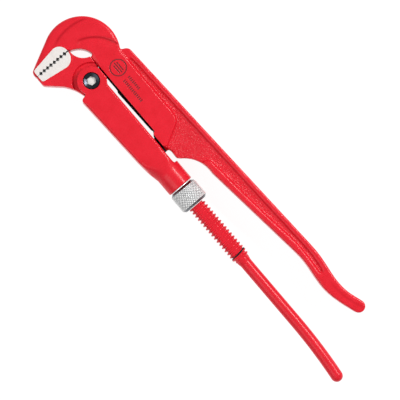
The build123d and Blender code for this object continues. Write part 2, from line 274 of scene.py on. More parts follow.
def new_object(name, mesh):
    """An object in the scene for a mesh."""
    obj = bpy.data.objects.new(name, mesh)
    bpy.context.scene.collection.objects.link(obj)
    return obj


def mesh_object(name, vertices, faces):
    """An object from vertices in millimetres about the jaw pivot."""
    mesh = bpy.data.meshes.new(name)
    mesh.from_pydata([tuple(world(*v)) for v in vertices], [], faces)
    mesh.validate()
    return new_object(name, mesh)


def copy_of(node, name):
    """A new object with a copy of a CAD node's mesh, welded."""
    mesh = frame["nodes"][node].data.copy()
    mesh.name = name
    mesh.materials.clear()
    edit = bmesh.new()
    edit.from_mesh(mesh)
    bmesh.ops.remove_doubles(edit, verts=edit.verts, dist=0.002 * MM)
    edit.to_mesh(mesh)
    edit.free()
    return new_object(name, mesh)


def apply_modifiers(obj):
    """Replaces an object's mesh with what its modifiers make of it."""
    graph = bpy.context.evaluated_depsgraph_get()
    graph.update()
    mesh = bpy.data.meshes.new_from_object(obj.evaluated_get(graph), depsgraph=graph)
    old = obj.data
    obj.modifiers.clear()
    obj.data = mesh
    bpy.data.meshes.remove(old)


def remesh(obj, size):
    """Rebuilds a closed mesh from even small squares."""
    modifier = obj.modifiers.new("remesh", "REMESH")
    modifier.mode = "VOXEL"
    modifier.voxel_size = size * MM
    apply_modifiers(obj)


def soften(obj, rounds, where=None):
    """Rounds the edges of a mesh, or of the vertices that where() picks."""
    modifier = obj.modifiers.new("soften", "SMOOTH")
    modifier.factor = 0.5
    modifier.iterations = rounds
    if where is not None:
        picked = np.flatnonzero(where(to_local(vertex_array(obj.data))))
        group = obj.vertex_groups.new(name="soft")
        group.add(picked.tolist(), 1.0, "REPLACE")
        modifier.vertex_group = group.name
    apply_modifiers(obj)
    obj.vertex_groups.clear()


def cut(obj, cutter):
    """Takes a closed object out of another, and removes it."""
    modifier = obj.modifiers.new("cut", "BOOLEAN")
    modifier.operation = "DIFFERENCE"
    modifier.solver = "EXACT"
    modifier.object = cutter
    apply_modifiers(obj)
    bpy.data.objects.remove(cutter)


def smooth_shade(obj, angle=None):
    """Smooth shading, with edges sharper than the angle kept."""
    mesh = obj.data
    mesh.polygons.foreach_set("use_smooth", [True] * len(mesh.polygons))
    if angle is not None:
        mesh.set_sharp_from_angle(angle=math.radians(angle))


def prism(name, lower, z_low, z_high, upper=None):
    """A closed outline, given anticlockwise, thickened from z_low to z_high."""
    n = len(lower)
    upper = lower if upper is None else upper
    vertices = [(x, y, z_low) for x, y in lower] + [(x, y, z_high) for x, y in upper]
    sides = [(i, (i + 1) % n, n + (i + 1) % n, n + i) for i in range(n)]
    faces = [tuple(range(n - 1, -1, -1)), tuple(range(n, 2 * n))] + sides
    return mesh_object(name, vertices, faces)


def circle(x, y, radius):
    """Points round a circle, anticlockwise."""
    angles = [math.tau * i / AROUND for i in range(AROUND)]
    return [(x + radius * math.cos(t), y + radius * math.sin(t)) for t in angles]


def smooth_step(t):
    """0 below 0, 1 above 1 and an even S between."""
    t = np.clip(t, 0.0, 1.0)
    return t * t * (3 - 2 * t)


def line_distance(points, line):
    """Distance in plan from points to an open line, positive to the left of its direction."""
    x, y = points[:, 0], points[:, 1]
    nearest = np.full(len(points), 1e9)
    side = np.ones(len(points))
    for (ax, ay), (bx, by) in zip(line, line[1:]):
        dx, dy = bx - ax, by - ay
        along = np.clip(((x - ax) * dx + (y - ay) * dy) / (dx * dx + dy * dy), 0, 1)
        gap = np.hypot(x - ax - along * dx, y - ay - along * dy)
        nearer = gap < nearest - 1e-6
        nearest = np.where(nearer, gap, nearest)
        side = np.where(nearer, np.where(dx * (y - ay) - dy * (x - ax) < 0, -1, 1), side)
    return nearest * side


def mark(obj, name, values):
    """Keeps a number at every vertex, for a material to read."""
    layer = obj.data.attributes.new(name, "FLOAT", "POINT")
    layer.data.foreach_set("value", np.asarray(values, dtype=np.float32))


def arc(start, through, end, steps):
    """Points from start to end on the circle through three points."""
    (ax, ay), (bx, by), (cx, cy) = start, through, end
    d = 2 * (ax * (by - cy) + bx * (cy - ay) + cx * (ay - by))
    a2, b2, c2 = ax * ax + ay * ay, bx * bx + by * by, cx * cx + cy * cy
    ux = (a2 * (by - cy) + b2 * (cy - ay) + c2 * (ay - by)) / d
    uy = (a2 * (cx - bx) + b2 * (ax - cx) + c2 * (bx - ax)) / d
    radius = math.hypot(ax - ux, ay - uy)
    t0, t1, t2 = (math.atan2(y - uy, x - ux) for x, y in (start, through, end))
    turn = (t2 - t0) % math.tau
    if (t1 - t0) % math.tau > turn:
        turn -= math.tau
    angles = [t0 + turn * i / steps for i in range(steps + 1)]
    return [(ux + radius * math.cos(t), uy + radius * math.sin(t)) for t in angles]


def ring(x, radius, angles):
    """A ring of points about the X axis, its radius one number or one for each angle."""
    return np.stack([x + 0 * angles, radius * np.cos(angles), radius * np.sin(angles)], 1)


def ring_faces(ring_count, around, joined=False):
    """The faces between rings of points, and between the last and the first if joined."""
    faces = []
    for i in range(ring_count if joined else ring_count - 1):
        n = (i + 1) % ring_count
        for j in range(around):
            k = (j + 1) % around
            faces.append((i * around + j, i * around + k, n * around + k, n * around + j))
    return faces


def ring_surface(rings):
    """Vertices and faces of a closed tube from rings of points, each end closed by a fan."""
    count = len(rings[0])
    vertices = [tuple(p) for points in rings for p in points]
    faces = ring_faces(len(rings), count)
    first = len(vertices)
    vertices.append(tuple(np.mean(rings[0], axis=0)))
    vertices.append(tuple(np.mean(rings[-1], axis=0)))
    last = (len(rings) - 1) * count
    for j in range(count):
        k = (j + 1) % count
        faces.append((first, k, j))
        faces.append((first + 1, last + j, last + k))
    return vertices, faces


# ---------------------------------------------------------------- materials


class Nodes:
    """Short names for building a material's node tree."""

    def __init__(self, name):
        self.material = bpy.data.materials.new(name)
        self.material.use_nodes = True
        self.tree = self.material.node_tree
        self.shader = self.tree.nodes["Principled BSDF"]
        self.place = self.tree.nodes.new("ShaderNodeTexCoord").outputs["Object"]

    def link(self, source, target):
        """Joins an output to an input."""
        self.tree.links.new(source, target)

    def feed(self, target, source):
        """Links an output to one of the shader's sockets, or sets the socket to a value."""
        socket = self.shader.inputs[target]
        if isinstance(source, (int, float)):
            socket.default_value = source
        elif isinstance(source, tuple):
            socket.default_value = (*source, 1)
        else:
            self.link(source, socket)

    def noise(self, size_mm, detail=2.0, roughness=0.5, offset=0.0, stretch=(1, 1, 1)):
        """Noise with features of about that size."""
        placing = self.tree.nodes.new("ShaderNodeMapping")
        placing.inputs["Location"].default_value = (offset, offset, offset)
        placing.inputs["Scale"].default_value = stretch
        self.link(self.place, placing.inputs["Vector"])
        node = self.tree.nodes.new("ShaderNodeTexNoise")
        node.inputs["Scale"].default_value = 1.0 / (size_mm * MM)
        node.inputs["Detail"].default_value = detail
        node.inputs["Roughness"].default_value = roughness
        self.link(placing.outputs["Vector"], node.inputs["Vector"])
        return node.outputs["Fac"]

    def kept(self, name):
        """A number kept at the vertices, 0 where there is none."""
        node = self.tree.nodes.new("ShaderNodeAttribute")
        node.attribute_name = name
        return node.outputs["Fac"]

    def spread(self, source, low, high, from_low=0.3, from_high=0.7):
        """Maps a value to the range low to high."""
        node = self.tree.nodes.new("ShaderNodeMapRange")
        node.inputs["From Min"].default_value = from_low
        node.inputs["From Max"].default_value = from_high
        node.inputs["To Min"].default_value = low
        node.inputs["To Max"].default_value = high
        self.link(source, node.inputs["Value"])
        return node.outputs["Result"]

    def blend(self, factor, low, high):
        """Between two colours or outputs, by a factor."""
        node = self.tree.nodes.new("ShaderNodeMix")
        node.data_type = "RGBA"
        self.link(factor, node.inputs[0])
        for socket, value in ((node.inputs[6], low), (node.inputs[7], high)):
            if isinstance(value, tuple):
                socket.default_value = (*value, 1)
            elif isinstance(value, (int, float)):
                socket.default_value = (value, value, value, 1)
            else:
                self.link(value, socket)
        return node.outputs[2]

    def bump(self, height, distance_mm, under=None, strength=1.0):
        """A bump from a height, over another one if given."""
        node = self.tree.nodes.new("ShaderNodeBump")
        node.inputs["Distance"].default_value = distance_mm * MM
        if isinstance(strength, (int, float)):
            node.inputs["Strength"].default_value = strength
        else:
            self.link(strength, node.inputs["Strength"])
        self.link(height, node.inputs["Height"])
        if under is not None:
            self.link(under, node.inputs["Normal"])
        return node.outputs["Normal"]


def enamel():
    """Red enamel over a forging.

    "rough" brings out the forging's grain, "crease" is painted shade along the creases, and the
    bare mask has no enamel: black rail steel, also standing in for the shade of its gap, and black
    painted shade under the pad's foot.
    """
    m = Nodes("red_enamel")
    # Near-black where this mask is 1: bare rail steel, kept black also as painted shade for the
    # narrow gap along the rail, and painted shade under the pad's foot.
    bare_and_painted_shade = m.spread(m.kept("bare_and_painted_shade"), 0.0, 1.0, 0.0, 0.12)
    tone = m.spread(m.noise(7.0, 3.0), 0.0, 1.0)
    red = m.blend(tone, (0.665, 0.010, 0.022), (0.72, 0.013, 0.028))
    # Painted shade: the enamel is darkened along the creases, where shade falls.
    red = m.blend(m.kept("crease"), red, (0.49, 0.003, 0.012))
    black = m.blend(m.noise(1.5, 3.0), (0.004, 0.004, 0.005), (0.012, 0.012, 0.013))
    m.feed("Base Color", m.blend(bare_and_painted_shade, red, black))
    gloss = m.spread(m.noise(3.0, 4.0, offset=1.0), 0.22, 0.32)
    m.feed("Roughness", m.blend(bare_and_painted_shade, gloss, 0.45))
    m.feed("Specular IOR Level", 0.24)
    grain = m.bump(m.noise(1.5, 3.0, 0.6), 1.10, strength=m.kept("rough"))
    dimples = m.bump(m.noise(2.4, 3.0, 0.6, 3.0), 0.05, grain)
    m.feed("Normal", m.bump(m.noise(0.7, 2.0, offset=2.0), 0.014, dimples))
    return m.material


def ground_steel():
    """Bare steel with fine grinding lines along the jaw."""
    m = Nodes("ground_steel")
    lines = m.noise(0.6, 3.0, stretch=(4.0, 0.15, 1.0))
    cloud = m.spread(m.noise(4.0, 3.0), 0.0, 1.0)
    m.feed("Base Color", m.blend(cloud, (0.80, 0.75, 0.72), (0.86, 0.82, 0.79)))
    m.feed("Roughness", m.spread(lines, 0.38, 0.55))
    m.feed("Metallic", 0.45)
    m.feed("Normal", m.bump(lines, 0.012))
    return m.material


def black_steel():
    """Blued or scale-black steel."""
    m = Nodes("black_steel")
    m.feed("Base Color", m.blend(m.noise(1.5, 3.0), (0.003, 0.003, 0.004), (0.008, 0.008, 0.009)))
    m.feed("Roughness", m.spread(m.noise(0.8, 2.0), 0.45, 0.60))
    m.feed("Specular IOR Level", 0.25)
    m.feed("Normal", m.bump(m.noise(0.7, 2.0), 0.012))
    return m.material


def bright_nickel():
    """Nickel plate over turned steel, darkened as painted shade in the knurl's grooves where
    "groove" is 1.
    """
    m = Nodes("bright_nickel")
    plate = m.blend(m.noise(2.0, 3.0), (0.92, 0.92, 0.92), (0.98, 0.98, 0.97))
    groove = m.kept("groove")
    # Painted shade: the plate turns near-black in the knurl's grooves.
    m.feed("Base Color", m.blend(groove, plate, (0.045, 0.047, 0.055)))
    m.feed("Roughness", m.spread(m.noise(1.2, 3.0), 0.30, 0.42))
    m.feed("Metallic", 0.30)
    m.feed("Normal", m.bump(m.noise(0.5, 2.0), 0.006))
    return m.material


def bolt_steel():
    """The bolt's head: dark, bluish and polished."""
    m = Nodes("bolt_steel")
    m.feed("Base Color", m.blend(m.noise(1.6, 3.0), (0.030, 0.034, 0.042), (0.048, 0.055, 0.068)))
    m.feed("Roughness", m.spread(m.noise(0.9, 3.0), 0.22, 0.30))
    m.feed("Metallic", 1.0)
    m.feed("Normal", m.bump(m.noise(0.8, 2.0), 0.012))
    return m.material


def bevel_nickel_painted_dark():
    """The nut's turned bevels, which mirror what is round them; their nickel is painted dark, a
    painted dark reflection.
    """
    m = Nodes("bevel_nickel_painted_dark")
    m.feed("Base Color", m.blend(m.noise(1.6, 3.0), (0.11, 0.115, 0.125), (0.20, 0.21, 0.225)))
    m.feed("Roughness", m.spread(m.noise(0.9, 3.0), 0.14, 0.22))
    m.feed("Metallic", 1.0)
    m.feed("Normal", m.bump(m.noise(0.8, 2.0), 0.010))
    return m.material


def stamp_painted_shade():
    """The dull bottom of the stamped mark, dark red as painted shade in its sunk strokes."""
    m = Nodes("stamp_bottom")
    m.feed("Base Color", m.blend(m.noise(0.8, 3.0), (0.10, 0.006, 0.010), (0.16, 0.010, 0.014)))
    m.feed("Roughness", m.spread(m.noise(0.5, 2.0), 0.55, 0.75))
    m.feed("Normal", m.bump(m.noise(0.5, 2.0), 0.02))
    return m.material


RED = enamel()
STEEL = ground_steel()
BLACK = black_steel()
NICKEL = bright_nickel()
BOLT = bolt_steel()
PAINTED_DARK_BEVEL = bevel_nickel_painted_dark()
STAMP_SHADE = stamp_painted_shade()


def finish_piece(obj, body, slot, *nodes):
    """A piece rides on its body and stands for its CAD nodes, which it hides. The slot argument is
    not used.
    """
    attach(obj, body)
    if nodes:
        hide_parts(*nodes)


def give(obj, *materials):
    """Gives an object its materials."""
    obj.data.materials.clear()
    for material in materials:
        obj.data.materials.append(material)


# ---------------------------------------------------------------- jaws


def land_back(side):
    """The border of one jaw's ground land, from the throat to the jaw's tip."""
    bulge_x, tip_x, top_y = HOOK_LAND if side < 0 else LOWER_LAND
    start = (TOOTH_X + side * MOUTH_HALF, top_y)
    shoulder = (TOOTH_X + side * LAND_SHOULDER[0], LAND_SHOULDER[1])
    back = arc(start, shoulder, (bulge_x, LAND_BULGE_Y), 20)
    tip = [(0, 0), (0.35, -1.0), (1.1, -1.6)]
    return back + [(tip_x - side * dx, LAND_TIP_Y + dy) for dx, dy in tip]


def land_outline(side, z):
    """The ground land of one jaw with its teeth, at a height. side is -1 for the hook's jaw."""
    crest_x = TOOTH_X + side * CREST_GAP / 2
    reach = TOOTH_DEPTH - CREST_GAP / 2
    drift = (z - LAND_HALF) * math.tan(math.radians(TOOTH_SLANT))
    teeth = [(crest_x, LAND_END_Y)]
    for i in reversed(range(TOOTH_COUNT)):
        y = FIRST_TOOTH_Y - i * TOOTH_PITCH + drift
        teeth += [(crest_x, y - reach), (crest_x + side * reach, y), (crest_x, y + reach)]
    teeth += [(crest_x, MOUTH_Y), (TOOTH_X + side * MOUTH_HALF, MOUTH_Y)]
    outline = land_back(side) + teeth
    return outline if side < 0 else outline[::-1]


def jaw_teeth(name, side, body, node):
    """The ground and toothed part of a jaw, as crisp as it is cut."""
    lower = land_outline(side, -LAND_HALF)
    obj = prism(name, lower, -LAND_HALF, LAND_HALF, land_outline(side, LAND_HALF))
    give(obj, STEEL, BLACK, RED)
    for polygon in obj.data.polygons:
        x = (polygon.center.x - PIVOT.x) / MM
        on_teeth = abs(x - TOOTH_X) < TOOTH_DEPTH
        is_side = abs(polygon.normal.z) < 0.5
        # The tooth walls take black steel: partly the hardened teeth's own dark finish, partly
        # painted shade for the dark gaps between the teeth.
        polygon.material_index = (1 if on_teeth else 2) if is_side else 0
    finish_piece(obj, body, "ground_steel", node)


def clear_teeth(obj, side):
    """Cuts a forging back behind the toothed part."""
    x0, x1 = sorted((TOOTH_X - side * 1.0, TOOTH_X + side * 2.4))
    low, high = LAND_END_Y + 0.7, MOUTH_Y + 0.6
    outline = [(x0, low), (x1, low), (x1, high), (x0, high)]
    cut(obj, prism("tooth_space", outline, -20, 20))


def rim(p, side):
    """The raised rim of enamel round a ground land."""
    away = line_distance(p, land_back(side)) * side
    return RIM_HEIGHT * smooth_step(1 - away / RIM_WIDTH) * (away > 0)


def inner_crease(p):
    """How far points are inside the hook's inner crease, and how much of it is left there."""
    away = line_distance(p, arc(*INNER_CREASE, 24) + [INNER_CREASE_END])
    return away, smooth_step((p[:, 1] - 7) / 7) * smooth_step((-5 - p[:, 0]) / 4)


def outer_crease(p):
    """The same for the crease near the hook's back."""
    away = line_distance(p, arc(*OUTER_CREASE, 24))
    return away, smooth_step((p[:, 1] + 7) / 8) * smooth_step((29 - p[:, 1]) / 6)


def handle_crease(p):
    """The same for the faint crease along the handle's end, which is drawn only as painted shade.
    """
    away = line_distance(p, arc(*HANDLE_CREASE, 24))
    return away, HANDLE_CREASE_SHADE * smooth_step((p[:, 0] - HANDLE_CREASE[0][0]) / 12)


def hook_height(p):
    """The height of the hook's face over the mid-plane at points p."""
    height = JAW_HALF + (PAD_HALF - JAW_HALF) * smooth_step((p[:, 0] + 14) / 10)
    away, left = inner_crease(p)
    step = smooth_step((away + 0.8) / 1.8) * (1 - smooth_step((away - 1.0) / 5))
    height -= INNER_CREASE_DEPTH * left * step
    away, left = outer_crease(p)
    groove = OUTER_CREASE_DEPTH * np.exp(-((away / OUTER_CREASE_HALF) ** 2))
    height -= left * (groove + OUTER_SLOPE * np.clip(-away, 0, OUTER_SLOPE_WIDTH))
    height += rim(p, -1)
    edge = line_distance(p, arc(*HOOK_BACK, 48) + HOOK_TIP)
    share = 1 - np.clip(edge / HOOK_ROUND_WIDTH, 0, 1)
    share *= smooth_step((HOOK_END_X + 2.2 - p[:, 0]) / 4)
    return height - HOOK_ROUND_DROP * (1 - np.sqrt(1 - 0.97 * share**2))


def lower_jaw_height(p):
    """The height of the lower jaw's face over the mid-plane at points p."""
    return JAW_HALF + rim(p, 1)


def shape_faces(obj, applies, height):
    """Brings the jaw's two faces, where applies() picks them, to a height over the mid-plane."""
    co = to_local(vertex_array(obj.data))
    wanted = np.where(applies(co), height(co), np.nan)
    deep = np.abs(co[:, 2])
    on_face = deep > JAW_HALF - FACE_BAND
    deep = np.where(np.isnan(wanted), deep, np.where(on_face, wanted, np.minimum(deep, wanted)))
    co[:, 2] = np.copysign(deep, co[:, 2])
    set_vertices(obj.data, to_world(co))


def mark_outlines():
    """Outlines of the stamped mark: each a list of rings of points, outer ring first."""
    x, y = MARK_PLACE
    half = STROKE / 2
    shapes = [[circle(x, y, MARK_R), circle(x, y, MARK_R - STROKE)]]
    for offset, reach in MARK_BARS:
        corners = [(-reach, -half), (reach, -half), (reach, half), (-reach, half)]
        shapes.append([[(x + dx, y + offset + dy) for dx, dy in corners]])
    for row_y, start_x, end_x, count in DASH_ROWS:
        low, high = row_y - DASH_HALF, row_y + DASH_HALF
        for i in range(count):
            x0 = start_x + (end_x - start_x) * i / count
            x1 = x0 + STROKE
            shapes.append([[(x0, low), (x1, low), (x1, high), (x0, high)]])
    return shapes


def mark_solid(name, z_low, z_high):
    """The stamped mark as one object of closed prisms."""
    edit = bmesh.new()
    for shape in mark_outlines():
        rings = []
        for points in shape:
            lower = [edit.verts.new(world(x, y, z_low)) for x, y in points]
            upper = [edit.verts.new(world(x, y, z_high)) for x, y in points]
            rings.append((lower, upper))
            for i in range(len(points)):
                k = (i + 1) % len(points)
                edit.faces.new((lower[i], lower[k], upper[k], upper[i]))
        if len(rings) == 1:
            edit.faces.new(rings[0][0])
            edit.faces.new(rings[0][1])
        else:
            for outer, inner in zip(rings[0], rings[1]):
                for i in range(len(outer)):
                    k = (i + 1) % len(outer)
                    edit.faces.new((outer[i], outer[k], inner[k], inner[i]))
    bmesh.ops.recalc_face_normals(edit, faces=edit.faces)
    mesh = bpy.data.meshes.new(name)
    edit.to_mesh(mesh)
    edit.free()
    return new_object(name, mesh)


def is_flat_face(co):
    """Which points belong to the hook or to the pad behind it."""
    x, y = co[:, 0], co[:, 1]
    return (x < HOOK_END_X) | ((x < WEB_START_X) & (y < PAD_TOP_Y))


def is_off_rail(co):
    """Which points aren't on the rail, whose edges stay crisp."""
    x, y = co[:, 0], co[:, 1]
    return (y > RAIL_Y + 1.0) | (x < RAIL_START_X) | (x > RAIL_END_X)


def is_upper_rib(co):
    """Which points are on the long leg's upper rib."""
    x, y, z = co.T
    return (x > UPPER_RIB_START_X) & (y > PAD_TOP_Y) & (np.abs(z) > 3.0)


def mark_enamel(obj):
    """Marks where the long leg's enamel gets painted shade in its creases, where it is rough, and
    where it gives way to black: bare rail steel, also painted dark for the shade of its gap, and
    painted shade under the pad's foot.
    """
    co = to_local(vertex_array(obj.data))
    x, y, z = co.T
    creases = (inner_crease(co), outer_crease(co), handle_crease(co))
    # Painted shade along the creases, strongest on their middle lines.
    crease_shade = [left * np.exp(-((away / CREASE_SHADE_HALF) ** 2)) for away, left in creases]
    mark(obj, "crease", np.max(crease_shade, axis=0) * (np.abs(z) > JAW_HALF - 2))
    level = smooth_step((np.abs(normals(obj.data)[:, 2]) - 0.6) / 0.3)
    web = level * smooth_step(WEB_TOP - np.abs(z)) * (x > 1) * (y > RAIL_Y + 1)
    mark(obj, "rough", np.maximum(web, PAD_ROUGH * (x > HOOK_END_X)))
    beside_rail = np.minimum(x - BARE_RAIL_START_X, BARE_RAIL_END_X - x)
    beside_foot = np.minimum(x - PAINTED_SHADE_FOOT_START_X, PAINTED_SHADE_FOOT_END_X - x)
    # The rail is bare steel, blackened further as painted shade for its gap. The pad's foot is
    # black only as painted shade for the gap under it.
    rail = np.minimum(RAIL_Y + 0.2 - y, beside_rail)
    foot = np.minimum(PAINTED_SHADE_FOOT_Y - y, beside_foot)
    mark(obj, "bare_and_painted_shade", np.maximum(rail, foot))


def long_leg_forging():
    """The long leg: hook, shank and handle, with the edges of a forging."""
    obj = copy_of("long_leg", "long_leg_forging")
    clear_teeth(obj, -1)
    remesh(obj, LEG_VOXEL)
    shape_faces(obj, is_flat_face, hook_height)
    remesh(obj, LEG_VOXEL)
    soften(obj, 4, is_off_rail)
    soften(obj, 9, lambda co: co[:, 0] > RIBS_START_X)
    soften(obj, 12, is_upper_rib)
    cut(obj, mark_solid("mark_cutter", PAD_HALF - MARK_DEPTH, PAD_HALF + 1))
    give(obj, RED)
    mark_enamel(obj)
    smooth_shade(obj)
    finish_piece(obj, "long_leg", "red_enamel", "long_leg")
    stamp = mark_solid("stamped_mark", PAD_HALF - MARK_DEPTH - 0.2, PAD_HALF - MARK_DEPTH + 0.1)
    # The mark's bottom is painted dark as the shade in its sunk strokes.
    give(stamp, STAMP_SHADE)
    finish_piece(stamp, "long_leg", "red_enamel", "long_leg")


def lower_jaw_forging():
    """The moving jaw behind its teeth."""
    obj = copy_of("lower_jaw", "lower_jaw_forging")
    clear_teeth(obj, 1)
    remesh(obj, JAW_VOXEL)
    shape_faces(obj, lambda co: np.hypot(co[:, 0], co[:, 1]) > BOSS_R - 0.8, lower_jaw_height)
    remesh(obj, JAW_VOXEL)
    soften(obj, 8)
    give(obj, RED)
    mark(obj, "rough", np.full(len(obj.data.vertices), LOWER_JAW_ROUGH))
    smooth_shade(obj)
    finish_piece(obj, "lower_jaw", "red_enamel", "lower_jaw")


# ---------------------------------------------------------------- sleeve, nut and bolt


def is_flare(co):
    """Which points are where the cheeks fall to the barrel."""
    x, _, z = co.T
    return (x > FLARE_START_X) & (x < FLARE_END_X) & (np.abs(z) > 5.0)


def sleeve_forging():
    """The sleeve, with soft forged edges and crisp bolt seats."""
    obj = copy_of("sleeve", "sleeve_forging")
    remesh(obj, SLEEVE_VOXEL)
    soften(obj, 8)
    soften(obj, 150, is_flare)
    seat = circle(0, 0, BOLT_SEAT_R)
    cut(obj, prism("bolt_seat", seat, BOLT_HEAD_LOW, SLEEVE_HALF + 1))
    cut(obj, prism("nut_seat", seat, -SLEEVE_HALF - 1, BOLT_TAIL_TOP))
    give(obj, RED)
    smooth_shade(obj, 50)
    finish_piece(obj, "sleeve", "red_enamel", "sleeve")


def hexagon_r(angles):
    """How far the socket's wall is from the bolt's middle."""
    return SOCKET_HALF / np.cos((angles + math.pi / 6) % (math.pi / 3) - math.pi / 6)


def pivot_bolt():
    """The bolt: a dished head with a hexagon socket, a shank and a tail."""
    angles = np.arange(AROUND) * math.tau / AROUND
    flat, wall = np.ones(AROUND), hexagon_r(angles)
    rings = [
        (SOCKET_FLOOR, wall),
        (BOLT_TOP - 1.1, wall),
        (BOLT_TOP - 0.9, wall + 0.25),
        (BOLT_TOP, flat * (BOLT_HEAD_R - 0.5)),
        (BOLT_TOP, flat * (BOLT_HEAD_R - 0.3)),
        (BOLT_TOP - 0.3, flat * BOLT_HEAD_R),
        (BOLT_HEAD_LOW, flat * BOLT_HEAD_R),
        (BOLT_HEAD_LOW, flat * BOLT_R),
        (BOLT_TAIL_TOP, flat * BOLT_R),
        (BOLT_TAIL_TOP, flat * BOLT_TAIL_R),
        (BOLT_TAIL_END, flat * BOLT_TAIL_R),
    ]
    points = [np.stack([r * np.cos(angles), r * np.sin(angles), 0 * r + z], 1) for z, r in rings]
    obj = mesh_object("pivot_bolt_head", *ring_surface(points))
    # The socket's floor takes light ground steel, a painted reflection of the bright light seen in
    # the dark bolt's socket.
    give(obj, BOLT, STEEL)
    for polygon in obj.data.polygons:
        z = (polygon.center.z - PIVOT.z) / MM
        polygon.material_index = 1 if abs(z - SOCKET_FLOOR) < 0.01 else 0
    smooth_shade(obj, 15)
    finish_piece(obj, "sleeve", "bright_nickel", "pivot_bolt")


def triangle_wave(t):
    """1 at whole numbers and 0 halfway between."""
    return np.abs(2 * (t - np.floor(t)) - 1)


def nut_profile():
    """Points (x, radius, knurled) from the barrel's end round to the threaded bore."""
    front = [
        (NUT_SPIGOT_X, NUT_SPIGOT_R),
        (NUT_SEAT_X, NUT_SPIGOT_R),
        (NUT_SEAT_X, NUT_FRONT_R),
        (NUT_FRONT_X, NUT_FRONT_R),
        (FRONT_BEVEL_END_X, NUT_BEVEL_R),
    ]
    back = [
        (BACK_BEVEL_START_X, NUT_BEVEL_R),
        (BACK_BEVEL_END_X, BACK_BEVEL_END_R),
        (NUT_BACK_X, BACK_BEVEL_END_R - 0.4),
        (NUT_BACK_X, NUT_BORE_R + 1.0),
        (NUT_BACK_X - 1.0, NUT_BORE_R),
        (NUT_MIDDLE_X, NUT_BORE_R),
        (NUT_SPIGOT_X, NUT_BORE_R),
    ]
    collar = []
    for i in range(KNURL_STEPS + 1):
        x = KNURL_START_X + (KNURL_END_X - KNURL_START_X) * i / KNURL_STEPS
        collar.append((x, NUT_R, 1))
    return [(x, r, 0) for x, r in front] + collar + [(x, r, 0) for x, r in back]


def adjusting_nut():
    """The captive nut, its collar cut with a diamond knurl."""
    angles = np.arange(NUT_AROUND) * math.tau / NUT_AROUND
    rings, grooves = [], []
    for x, radius, knurled in nut_profile():
        along = (x - KNURL_START_X) / KNURL_LENGTH
        turn = angles * KNURL_COUNT / math.tau
        ridge = np.minimum(triangle_wave(turn + along), triangle_wave(turn - along))
        r = radius - knurled * KNURL_DEPTH * (1 - ridge)
        # Painted shade in the knurl's grooves, for the material's "groove" mask.
        grooves.append(knurled * smooth_step((0.36 - ridge) / 0.26))
        rings.append(ring(x, r, angles))
    vertices = [tuple(p) for points in rings for p in points]
    obj = mesh_object("knurled_nut", vertices, ring_faces(len(rings), NUT_AROUND, joined=True))
    # The bevels take a darker copy of the nickel, a painted dark reflection.
    give(obj, NICKEL, PAINTED_DARK_BEVEL)
    for polygon in obj.data.polygons:
        x = (polygon.center.x - PIVOT.x) / MM
        is_front = NUT_FRONT_X < x < FRONT_BEVEL_END_X
        is_back = BACK_BEVEL_START_X < x < BACK_BEVEL_END_X
        polygon.material_index = 1 if is_front or is_back else 0
    mark(obj, "groove", np.concatenate(grooves))
    smooth_shade(obj, 40)
    finish_piece(obj, "nut", "bright_nickel", "adjusting_nut")


def thread_radius(x, angles):
    """The thread's radius round the leg at x: flanks with a rounded crest and root."""
    phase = x / THREAD_PITCH - angles / math.tau
    height = smooth_step((triangle_wave(phase) - 0.5) * 1.5 + 0.5)
    fade = min(1.0, max(0.0, (THREAD_END_X - x) / 2.5))
    return THREAD_ROOT_R + (THREAD_CREST_R - THREAD_ROOT_R) * height * fade


def thread_fill(angles):
    """How far enamel fills the thread's grooves: nearly level with the flats above and below."""
    across = np.abs(np.sin(angles))
    level = (THREAD_FLAT - FLAT_GROOVE) / np.maximum(across, 0.8)
    return THREAD_ROOT_R + (level - THREAD_ROOT_R) * smooth_step((across - 0.62) / 0.18)


def leg_rings():
    """Rings of points along the threaded leg, from inside the barrel to the rounded end."""
    angles = np.arange(AROUND) * math.tau / AROUND
    rings = []
    steps = int((THREAD_END_X - THREAD_START_X) * 5)
    fill = thread_fill(angles)
    for x in np.linspace(THREAD_START_X, THREAD_END_X, steps + 1):
        r = np.maximum(thread_radius(x, angles), fill)
        y, z = r * np.cos(angles), np.clip(r * np.sin(angles), -THREAD_FLAT, THREAD_FLAT)
        rings.append(np.stack([x + 0 * angles, y, z], 1))
    for share in (0.2, 0.4, 0.6, 0.8):
        x = THREAD_END_X + (ROD_START_X - THREAD_END_X) * share
        r = THREAD_ROOT_R + (ROD_R - THREAD_ROOT_R) * smooth_step(share)
        rings.append(ring(x, r, angles))
    for x in (ROD_START_X, ROD_MIDDLE_X, BEND_START_X):
        rings.append(ring(x, ROD_R, angles))
    full_turn = math.asin((BEND_END_X - BEND_START_X) / BEND_R)
    for i in range(1, 17):
        rings.append(bent_ring(full_turn * i / 16, 0.0, ROD_R, angles))
    for i in range(1, 16):
        tip = math.pi / 2 * i / 16
        rings.append(bent_ring(full_turn, ROD_R * math.sin(tip), ROD_R * math.cos(tip), angles))
    return rings


def bent_ring(turn, beyond, radius, angles):
    """A ring on the bent end of the rod, beyond its centre line's point by that length."""
    cx = BEND_START_X + BEND_R * math.sin(turn) + beyond * math.cos(turn)
    cy = BEND_R * (math.cos(turn) - 1) - beyond * math.sin(turn)
    y, z = radius * np.cos(angles), radius * np.sin(angles)
    return np.stack([cx + y * math.sin(turn), cy + y * math.cos(turn), z], 1)


def threaded_leg():
    """The thread and the rod handle, in one piece."""
    obj = mesh_object("threaded_leg_rod", *ring_surface(leg_rings()))
    give(obj, RED)
    smooth_shade(obj, 50)
    finish_piece(obj, "threaded_leg", "red_enamel", "threaded_leg")


